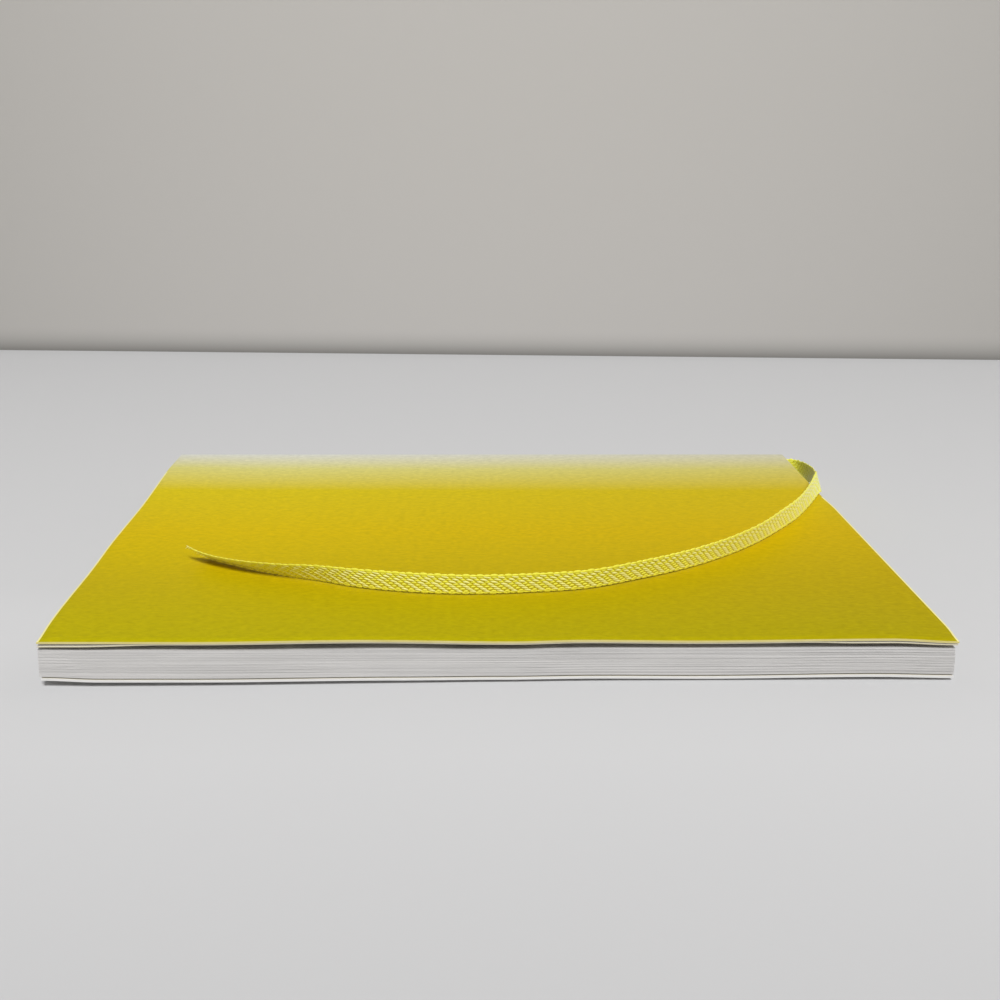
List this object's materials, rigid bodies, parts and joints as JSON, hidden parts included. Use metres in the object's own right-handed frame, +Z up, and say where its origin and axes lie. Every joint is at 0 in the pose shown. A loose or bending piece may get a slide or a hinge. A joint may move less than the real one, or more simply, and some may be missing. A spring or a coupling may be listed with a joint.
{
  "type": "softcover notebook",
  "caption": "Slim softcover notebook lying flat, sewn page block between two hinged card covers, with a flat woven page-marker ribbon laid over the front cover.",
  "frame": {"origin": "centre of the footprint, on the surface that the back cover lies on", "axes": "+X along the spine from tail to head, +Y from the fore edge to the spine, +Z up out of the front cover"},
  "size_m": [0.2169, 0.148, 0.0173],
  "materials": {
    "cover_card": "satin printed card",
    "back_card": "satin card",
    "pages": "matte uncoated paper, cut edges",
    "endpaper": "matte heavy paper",
    "lining": "plain gauze",
    "thread": "waxed thread",
    "ribbon": "silky herringbone weave"
  },
  "bodies": {
    "book_block": {"page_block": "pages", "sewing_thread": "thread", "spine_lining": "lining", "cover_spine": "cover_card", "front_flyleaf": "endpaper", "back_flyleaf": "endpaper", "ribbon_anchor": "ribbon"},
    "front_board": {"front_cover": "cover_card", "front_pastedown": "endpaper", "ribbon": "ribbon"},
    "back_board": {"back_cover": "back_card", "back_pastedown": "endpaper"}
  },
  "joints": [
    {"name": "front_hinge", "type": "hinge", "parent": "book_block", "child": "front_board", "pos_m": [0, 0.0741, 0.00988], "axis": [-1, 0, 0], "range_deg": [0, 180]},
    {"name": "back_hinge", "type": "hinge", "parent": "book_block", "child": "back_board", "pos_m": [0, 0.0741, 0.00022], "axis": [1, 0, 0], "range_deg": [0, 181]}
  ]
}
